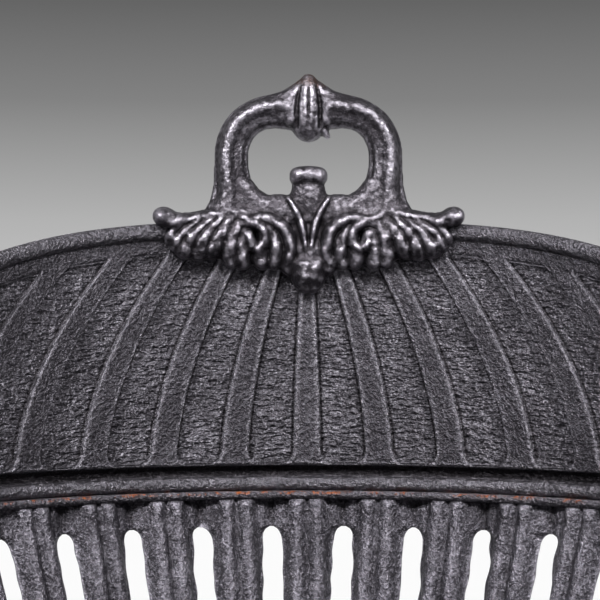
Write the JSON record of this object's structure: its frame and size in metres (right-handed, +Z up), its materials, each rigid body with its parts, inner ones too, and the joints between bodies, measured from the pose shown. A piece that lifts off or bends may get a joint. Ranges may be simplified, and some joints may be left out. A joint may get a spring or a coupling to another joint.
{
  "type": "fire basket",
  "caption": "Cast-iron fire basket with a fan-ribbed half-round shell back, loop handle on a leaf crest, slotted bowl, bowed front, four legs and a sliding ash pan",
  "frame": {"origin": "centre of the overall footprint, on the hearth under the feet", "axes": "+Z up, -Y out of the open front, +X to the right seen from the front"},
  "size_m": [0.406, 0.303, 0.3692],
  "materials": {
    "shell": "black-leaded sand-cast iron",
    "grate_iron": "black-leaded sand-cast iron, darker in the slots",
    "crest_iron": "black-leaded sand-cast iron, brushed bright on the high spots",
    "leg_iron": "black-leaded cast iron",
    "plate_iron": "fire-dulled cast iron",
    "pan_steel": "black-painted sheet steel",
    "fixing_steel": "blackened steel fixings"
  },
  "bodies": {
    "basket": {"shell_back": "shell", "crest_handle": "crest_iron", "crest_screws": "fixing_steel", "locating_pegs": "fixing_steel", "rear_grate": "grate_iron", "front_gallery": "grate_iron", "side_bolts": "fixing_steel", "side_washers": "fixing_steel", "side_nuts": "fixing_steel", "bottom_grate": "plate_iron", "leg_rear_left": "leg_iron", "leg_rear_right": "leg_iron", "leg_front_left": "leg_iron", "leg_front_right": "leg_iron", "ledge_screws": "fixing_steel", "pan_runner_left": "pan_steel", "pan_runner_right": "pan_steel", "runner_nuts": "fixing_steel"},
    "pan": {"ash_pan": "pan_steel", "pan_knob": "fixing_steel", "knob_nut": "fixing_steel"}
  },
  "joints": [
    {"name": "pan_slide", "type": "slide", "parent": "basket", "child": "pan", "axis": [0, -1, 0], "range_m": [0, 0.12]}
  ]
}
